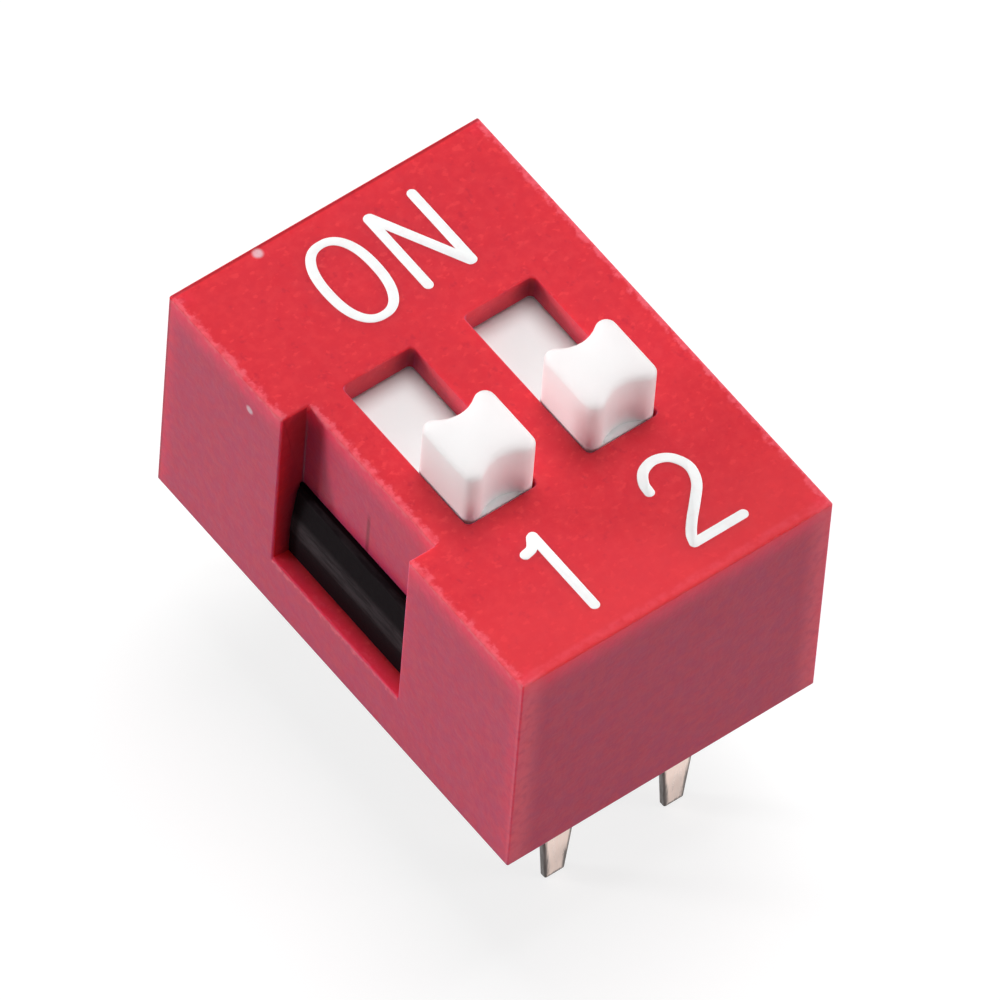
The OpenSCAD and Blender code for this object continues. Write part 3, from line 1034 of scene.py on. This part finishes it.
def slider_mesh(size, metal, pole):
    """The slider: a plate on two foot rails, the knob on its top, a web in the foot of the
    knob's grooves and the stake that holds the contact."""
    low, high = box_of(f"slider_{pole}")
    contact_top = box_of(f"contact_{pole}")[1].z
    x, y = pole_x(pole), (low.y + high.y) / 2
    half, rail = (high.x - low.x) / 2, size.rail_width
    pocket_top, top = contact_top + size.contact_gap, plate_top(size)
    outline = [
        (-half, low.z), (rail - half, low.z), (rail - half, pocket_top),
        (half - rail, pocket_top), (half - rail, low.z), (half, low.z), (half, top), (-half, top)]
    body = loft([[(x + a, end, z) for a, z in outline] for end in (low.y, high.y)])
    soften(body, size.edge_radius, lambda a, b: True, 3)
    half_knob = half - size.shoulder
    knob = knob_mesh(size, Vector((x, y)), half_knob, top, high.z)
    web_y = size.knob_length / 2 - size.web_inset
    web = slab(x, half_knob - size.lobe_radius, (y - web_y, y + web_y),
               (top - SUNK, box_of("cover")[1].z - size.web_drop))
    shank = size.stake / 2
    lip = shank + size.stake_lip
    head_top = contact_top - metal.spring - size.contact_gap
    head_low = head_top - size.stake_head
    stake = disc(x, y, [
        (head_low, lip - size.head_chamfer), (head_low + size.head_chamfer, lip),
        (head_top, lip), (head_top, shank), (pocket_top + PAST, shank)])
    for part in (knob, web, stake):
        body = combine(body, part, "UNION")
    return tidied(body)


# ---------------------------------------------------------------------------
# Terminals and contacts

def strip_ring(x, centre, across, half_width, half_thick, corner):
    """One cross-section of a flat strip, with rounded corners. across is its thickness
    direction in Y and Z."""
    ring = []
    for quarter, (a, b) in enumerate(((1, 1), (-1, 1), (-1, -1), (1, -1))):
        for angle in spaced(QUARTER * quarter, QUARTER * (quarter + 1), 4):
            wide = a * (half_width - corner) + corner * math.cos(angle)
            thick = b * (half_thick - corner) + corner * math.sin(angle)
            ring.append((x + wide, centre[0] + across[0] * thick, centre[1] + across[1] * thick))
    return ring


def strip_mesh(x, stations, thickness, corner):
    """A bent strip through stations of (centre, half width, share of thickness)."""
    rings = []
    centres = [Vector(station[0]) for station in stations]
    for i, (centre, half_width, thin) in enumerate(stations):
        run = (centres[min(i + 1, len(centres) - 1)] - centres[max(i - 1, 0)]).normalized()
        rings.append(strip_ring(
            x, centre, (-run.y, run.x), half_width, thickness / 2 * thin,
            min(corner, half_width)))
    return loft(rings)


def terminal_mesh(metal, base, row, pole):
    """A terminal: a pad that lies in the base's top, a bend, a blade that goes down through
    the base, and a pin that starts at the blade's shoulder and narrows towards its tip."""
    low, high = box_of(f"{row}_terminal_{pole}")
    end = 1 if row == "back" else -1
    half_t, corner = metal.strip / 2, metal.strip_edge
    half_pad, half_pin, half_tip = (high.x - low.x) / 2, metal.pin_width / 2, metal.tip_width / 2
    pad_y = low.y if end > 0 else -high.y
    line_y = (high.y if end > 0 else -low.y) - half_t
    pad_z = high.z - half_t
    shoulder = box_of("base")[0].z + base.blade_seat
    taper_top = low.z + metal.taper
    slope = 0.002               # height in which the shoulder steps in to the pin
    ease, eased = 0.15, 0.008   # length in which the taper sets in, and how far
    tip, tip_cut = 0.02, 0.015  # length of the cut corners at the pin's tip, and how far
    thin_end = 0.8              # share of the thickness at the strip's two ends
    bend = [
        ((line_y - half_t + half_t * math.sin(a), pad_z - half_t + half_t * math.cos(a)),
         half_pad, 1) for a in spaced(0, QUARTER, 6)]
    stations = [
        ((pad_y, pad_z), half_pad - corner, thin_end),
        ((pad_y + corner, pad_z), half_pad, 1),
        *bend,
        ((line_y, shoulder + corner), half_pad, 1),
        ((line_y, shoulder), half_pad - corner, 1),
        ((line_y, shoulder - slope), half_pin, 1),
        ((line_y, taper_top), half_pin, 1),
        ((line_y, taper_top - ease), half_pin - eased, 1),
        ((line_y, low.z + tip), half_tip, 1),
        ((line_y, low.z), half_tip - tip_cut, thin_end)]
    turned = [((end * y, z), half, thin) for (y, z), half, thin in stations]
    return strip_mesh(pole_x(pole), turned, metal.strip, corner)


TIP_RISE = math.radians(38)     # how steeply a contact's free tips turn up


def contact_mesh(metal, slider, pole):
    """The moving contact: a flat, two sloping arms, round wiping points and free tips."""
    low, high = box_of(f"contact_{pole}")
    x, y = pole_x(pole), (low.y + high.y) / 2
    half_t = metal.spring / 2
    radius = metal.wipe_radius - half_t
    corner = Vector((metal.spring_flat, high.z - half_t))
    centre = Vector((metal.wipe_span / 2, low.z + metal.wipe_radius))
    to_centre = centre - corner
    slope = math.atan2(to_centre.y, to_centre.x) - math.asin(radius / to_centre.length)
    wiping = spaced(slope - QUARTER, TIP_RISE - QUARTER, 10)
    arm = [corner, *(centre + heading(angle) * radius for angle in wiping)]
    arm.append(arm[-1] + heading(TIP_RISE) * metal.tip_length)
    path = [Vector((-p.x, p.y)) for p in reversed(arm)] + arm
    stations = [((y + p.x, p.y), (high.x - low.x) / 2, 1) for p in path]
    strip = strip_mesh(x, stations, metal.spring, metal.spring_edge)
    hole = slider.stake / 2 + metal.stake_gap
    tools = [disc(x, y, [(high.z - metal.spring - PAST, hole), (high.z + PAST, hole)])]
    slit_from = metal.spring_flat + metal.slit_start
    for ys in ((y + slit_from, high.y + PAST), (y - slit_from, low.y - PAST)):
        tools.append(slab(x, metal.slit / 2, ys, (low.z - PAST, high.z + PAST)))
    return cut(strip, *tools)


# ---------------------------------------------------------------------------
# Legend

SQUARENESS = 0.86               # of the letter O: 1 is a plain ellipse, and less is squarer
THIN_END = 0.84                 # line width at the letter O's two ends, as a share of its sides'
LETTER_O = ((-0.535, 0.01), 0.50, 0.885)    # its middle in its place, half width, half height

# Each sign's lines, in millimetres from the middle of its place on the cover.
SIGNS = {
    "N": [
        [(0.45, -0.80), (0.45, 0.86)],
        [(0.48, 0.86), (1.34, -0.80)],
        [(1.37, -0.80), (1.37, 0.86)],
    ],
    "1": [
        [(0.01, -0.85), (0.01, 0.84)],
        [(-0.32, 0.61), (-0.15, 0.66), (-0.02, 0.83)],
    ],
    "2": [
        [(-0.395, 0.44), (-0.36, 0.64), (-0.21, 0.84), (0.06, 0.92), (0.33, 0.80), (0.475, 0.50),
         (0.39, 0.17), (0.13, -0.13), (-0.15, -0.41), (-0.34, -0.64), (-0.405, -0.81)],
        [(-0.405, -0.81), (0.615, -0.81)],
    ],
}


def smooth_path(points, steps=8):
    """A smooth line through points, straight where only two are given."""
    points = [Vector(p) for p in points]
    if len(points) == 2:
        return points
    padded = [2 * points[0] - points[1], *points, 2 * points[-1] - points[-2]]
    line = []
    for a, b, c, d in zip(padded, padded[1:], padded[2:], padded[3:]):
        for t in spaced(0, 1, steps)[:-1]:
            line.append(0.5 * (2 * b + (c - a) * t + (2 * a - 5 * b + 4 * c - d) * t ** 2
                               + (3 * b - a - 3 * c + d) * t ** 3))
    line.append(points[-1])
    return line


def ink_section(place, run, half, z, height):
    """A cross-section of a line printed along run: flat below and softly rounded above."""
    shape = [(-1, 0), (-0.97, 0.6), (-0.86, 1), (0.86, 1), (0.97, 0.6), (1, 0)]
    return [(place.x - run.y * half * a, place.y + run.x * half * a, z + height * b)
            for a, b in shape]


def ink_stroke(points, half, z, height):
    """A printed line with round ends."""
    path = smooth_path(points)
    first = (path[1] - path[0]).normalized()
    last = (path[-1] - path[-2]).normalized()
    rounding = [(math.cos(math.radians(a)), math.sin(math.radians(a))) for a in range(10, 90, 16)]
    spots = [(path[0] - first * half * back, first, half * wide) for back, wide in rounding]
    for i, place in enumerate(path):
        run = path[min(i + 1, len(path) - 1)] - path[max(i - 1, 0)]
        spots.append((place, run.normalized(), half))
    for back, wide in reversed(rounding):
        spots.append((path[-1] + last * half * back, last, half * wide))
    return loft([ink_section(*spot, z, height) for spot in spots])


def ink_loop(centre, half_x, half_y, half, z, height, steps=96):
    """A printed oval with flattened sides, thinner at its two ends."""
    places, widths = [], []
    for angle in spaced(0, 2 * math.pi, steps)[:-1]:
        c, s = (math.copysign(abs(n) ** SQUARENESS, n) for n in heading(angle))
        places.append(Vector((centre[0] + half_x * c, centre[1] + half_y * s)))
        widths.append(half * (THIN_END + (1 - THIN_END) * abs(math.cos(angle))))
    rings = []
    for i, place in enumerate(places):
        back = (places[i - 1] - places[(i + 1) % steps]).normalized()
        rings.append(ink_section(place, back, widths[i], z, height))
    return loft(rings, closed=True)


def sign_mesh(lines, middle, half, z, height):
    """A printed sign, its lines joined."""
    strokes = [
        ink_stroke([(middle[0] + a, middle[1] + b) for a, b in line], half, z, height)
        for line in lines]
    made = strokes[0]
    for stroke in strokes[1:]:
        made = combine(made, stroke, "UNION")
    return tidied(made)


# ---------------------------------------------------------------------------
# Stage

FLOOR_HALF = 1.5                # metres
LAMP_DISTANCE = 0.2             # metres

# Each lamp's direction round the switch from +X, its height above the floor and how wide it
# looks from the switch, all in degrees.
LAMPS = {
    "back": (45, 70, 45),
    "left": (137, 9, 14),
    "right": (320, 9, 30),
}

# The camera's direction round the switch from +X, its height above the floor and how far it
# is rolled over, in degrees, then the place that it looks at and its distance in metres.
CAMERA_TURN = -131.261
CAMERA_HEIGHT = 54.248
CAMERA_ROLL = 4.943
CAMERA_AIM = (0.000837, 0.000742, 0.000799)
CAMERA_DISTANCE = 0.35847
CAMERA_LENS = 764.4             # millimetres


def direction(turn, height):
    """The direction at an angle round from +X and an angle above the floor, in degrees."""
    height = math.radians(height)
    return Vector((*(heading(math.radians(turn)) * math.cos(height)), math.sin(height)))


def add_object(name, data):
    """A new object in the scene."""
    made = bpy.data.objects.new(name, data)
    made.rotation_mode = "QUATERNION"
    bpy.context.scene.collection.objects.link(made)
    return made


def add_floor(look):
    """A floor under the tips of the pins."""
    mesh = bpy.data.meshes.new("floor")
    corners = ((-1, -1), (1, -1), (1, 1), (-1, 1))
    mesh.from_pydata([(FLOOR_HALF * a, FLOOR_HALF * b, CAD_BOX[0].z) for a, b in corners],
                     [], [(0, 1, 2, 3)])
    mesh.materials.append(floor_paper(look))
    floor = add_object("floor", mesh)


def add_world(look):
    """Even light from all round, which looks white to the camera at any strength."""
    world = bpy.data.worlds.new("surroundings")
    bpy.context.scene.world = world
    nodes = Nodes(world)
    level = seen_directly(nodes).ramp(0, 1, look.sky, 1)
    nodes.end(nodes.add("ShaderNodeBackground", (1.0, 1.0, 1.0), level))


def add_lamp(name, energy):
    """A lamp that shines at the switch and isn't mirrored in it."""
    turn, height, width = LAMPS[name]
    lamp = bpy.data.lights.new(name, "SUN")
    lamp.energy = energy
    lamp.angle = math.radians(width)
    towards = direction(turn, height)
    made = add_object(name, lamp)
    made.rotation_quaternion = towards.to_track_quat("Z", "Y")
    made.location = towards * LAMP_DISTANCE
    made.visible_glossy = False


def add_camera():
    """The camera, far off with a long lens."""
    data = bpy.data.cameras.new("camera")
    data.lens = CAMERA_LENS
    data.clip_start = 0.01
    data.clip_end = 10
    back = direction(CAMERA_TURN, CAMERA_HEIGHT)
    roll = Matrix.Rotation(math.radians(CAMERA_ROLL), 3, "Z").to_quaternion()
    camera = add_object("camera", data)
    camera.rotation_quaternion = (-back).to_track_quat("-Z", "Y") @ roll
    camera.location = Vector(CAMERA_AIM) + back * CAMERA_DISTANCE
    bpy.context.scene.camera = camera


# ---------------------------------------------------------------------------
# Operators

class SWITCH_OT_stage(bpy.types.Operator):
    """Lay the floor and set the lamps, the surroundings and the camera."""
    bl_idname = "switch.stage"
    bl_label = "Stage"

    def execute(self, context):
        look = sizes("switch_stage")
        add_floor(look)
        add_world(look)
        for name in LAMPS:
            add_lamp(name, getattr(look, name))
        add_camera()
        context.scene.view_settings.view_transform = "Standard"
        return {"FINISHED"}


class SWITCH_OT_cover(bpy.types.Operator):
    """Build the red cover."""
    bl_idname = "switch.cover"
    bl_label = "Cover"

    def execute(self, context):
        size, slider = sizes("switch_cover"), sizes("switch_slider")
        shell = cover_mesh(size, sizes("switch_base"), slider)
        piece("switch_cover", shell, red_plastic(size, slider), HOUSING, "cover", "cover")
        return {"FINISHED"}


class SWITCH_OT_base(bpy.types.Operator):
    """Build the black base with its latch hooks."""
    bl_idname = "switch.base"
    bl_label = "Base"

    def execute(self, context):
        size, cover = sizes("switch_base"), sizes("switch_cover")
        body = base_mesh(size, cover, sizes("switch_metal"))
        piece("switch_base", body, black_plastic(size, cover), HOUSING, "base", "base")
        return {"FINISHED"}


class SWITCH_OT_sliders(bpy.types.Operator):
    """Build the white sliders with their knobs."""
    bl_idname = "switch.sliders"
    bl_label = "Sliders"

    def execute(self, context):
        size, metal = sizes("switch_slider"), sizes("switch_metal")
        material = white_plastic(size)
        for pole in POLES:
            name = f"slider_{pole}"
            piece(f"switch_{name}", slider_mesh(size, metal, pole), material,
                  name, "slider", name)
        return {"FINISHED"}


class SWITCH_OT_contacts(bpy.types.Operator):
    """Build the moving contacts."""
    bl_idname = "switch.contacts"
    bl_label = "Contacts"

    def execute(self, context):
        metal, slider = sizes("switch_metal"), sizes("switch_slider")
        material = gold_strip(metal)
        for pole in POLES:
            name = f"contact_{pole}"
            piece(f"switch_{name}", contact_mesh(metal, slider, pole), material,
                  f"slider_{pole}", "contact", name)
        return {"FINISHED"}


class SWITCH_OT_terminals(bpy.types.Operator):
    """Build the terminals with their pins."""
    bl_idname = "switch.terminals"
    bl_label = "Terminals"

    def execute(self, context):
        metal, base = sizes("switch_metal"), sizes("switch_base")
        material = tinned_strip(metal)
        for row in ("front", "back"):
            for pole in POLES:
                name = f"{row}_terminal_{pole}"
                piece(f"switch_{name}", terminal_mesh(metal, base, row, pole), material,
                      HOUSING, "terminal", name)
        return {"FINISHED"}


class SWITCH_OT_legend(bpy.types.Operator):
    """Print ON and the pole numbers on the cover."""
    bl_idname = "switch.legend"
    bl_label = "Legend"

    def execute(self, context):
        look = sizes("switch_legend")
        material = white_ink(look)
        line = (look.stroke / 2, box_of("cover")[1].z, look.ink_height)
        (x, y), half_x, half_y = LETTER_O
        signs = {"O": ink_loop((x, look.middle + y), half_x, half_y, *line)}
        signs["N"] = sign_mesh(SIGNS["N"], (0, look.middle), *line)
        for pole in POLES:
            signs[str(pole)] = sign_mesh(
                SIGNS[str(pole)], (pole_x(pole), -look.middle), *line)
        for sign, mesh in signs.items():
            piece(f"legend_{sign}", mesh, material, HOUSING, "slider")
        return {"FINISHED"}


OPERATORS = (
    SWITCH_OT_stage,
    SWITCH_OT_cover,
    SWITCH_OT_base,
    SWITCH_OT_sliders,
    SWITCH_OT_contacts,
    SWITCH_OT_terminals,
    SWITCH_OT_legend,
)


class SWITCH_PT_panel(bpy.types.Panel):
    """The pieces of the switch and their sizes."""
    bl_idname = "SWITCH_PT_panel"
    bl_label = "Slide Switch"
    bl_space_type = "VIEW_3D"
    bl_region_type = "UI"
    bl_category = "Slide Switch"

    def draw(self, context):
        for operator in OPERATORS:
            self.layout.operator(operator.bl_idname)
        for name in SETTINGS:
            group = getattr(context.scene, name)
            box = self.layout.box()
            box.label(text=type(group).__doc__ or name)
            for prop in group.bl_rna.properties:
                if prop.type == "FLOAT":
                    box.prop(group, prop.identifier)


def register():
    """Adds the settings, the operators and the panel."""
    for made in (*SETTINGS.values(), *OPERATORS, SWITCH_PT_panel):
        bpy.utils.register_class(made)
    for name, group in SETTINGS.items():
        setattr(bpy.types.Scene, name, bpy.props.PointerProperty(type=group))


def unregister():
    """Takes them away again."""
    for name in SETTINGS:
        delattr(bpy.types.Scene, name)
    for made in (SWITCH_PT_panel, *reversed(OPERATORS), *reversed(SETTINGS.values())):
        bpy.utils.unregister_class(made)


def main():
    """Builds the whole switch, and writes its size down."""
    register()
    for operator in OPERATORS:
        group, name = operator.bl_idname.split(".")
        getattr(getattr(bpy.ops, group), name)()


if __name__ == "__main__":
    main()
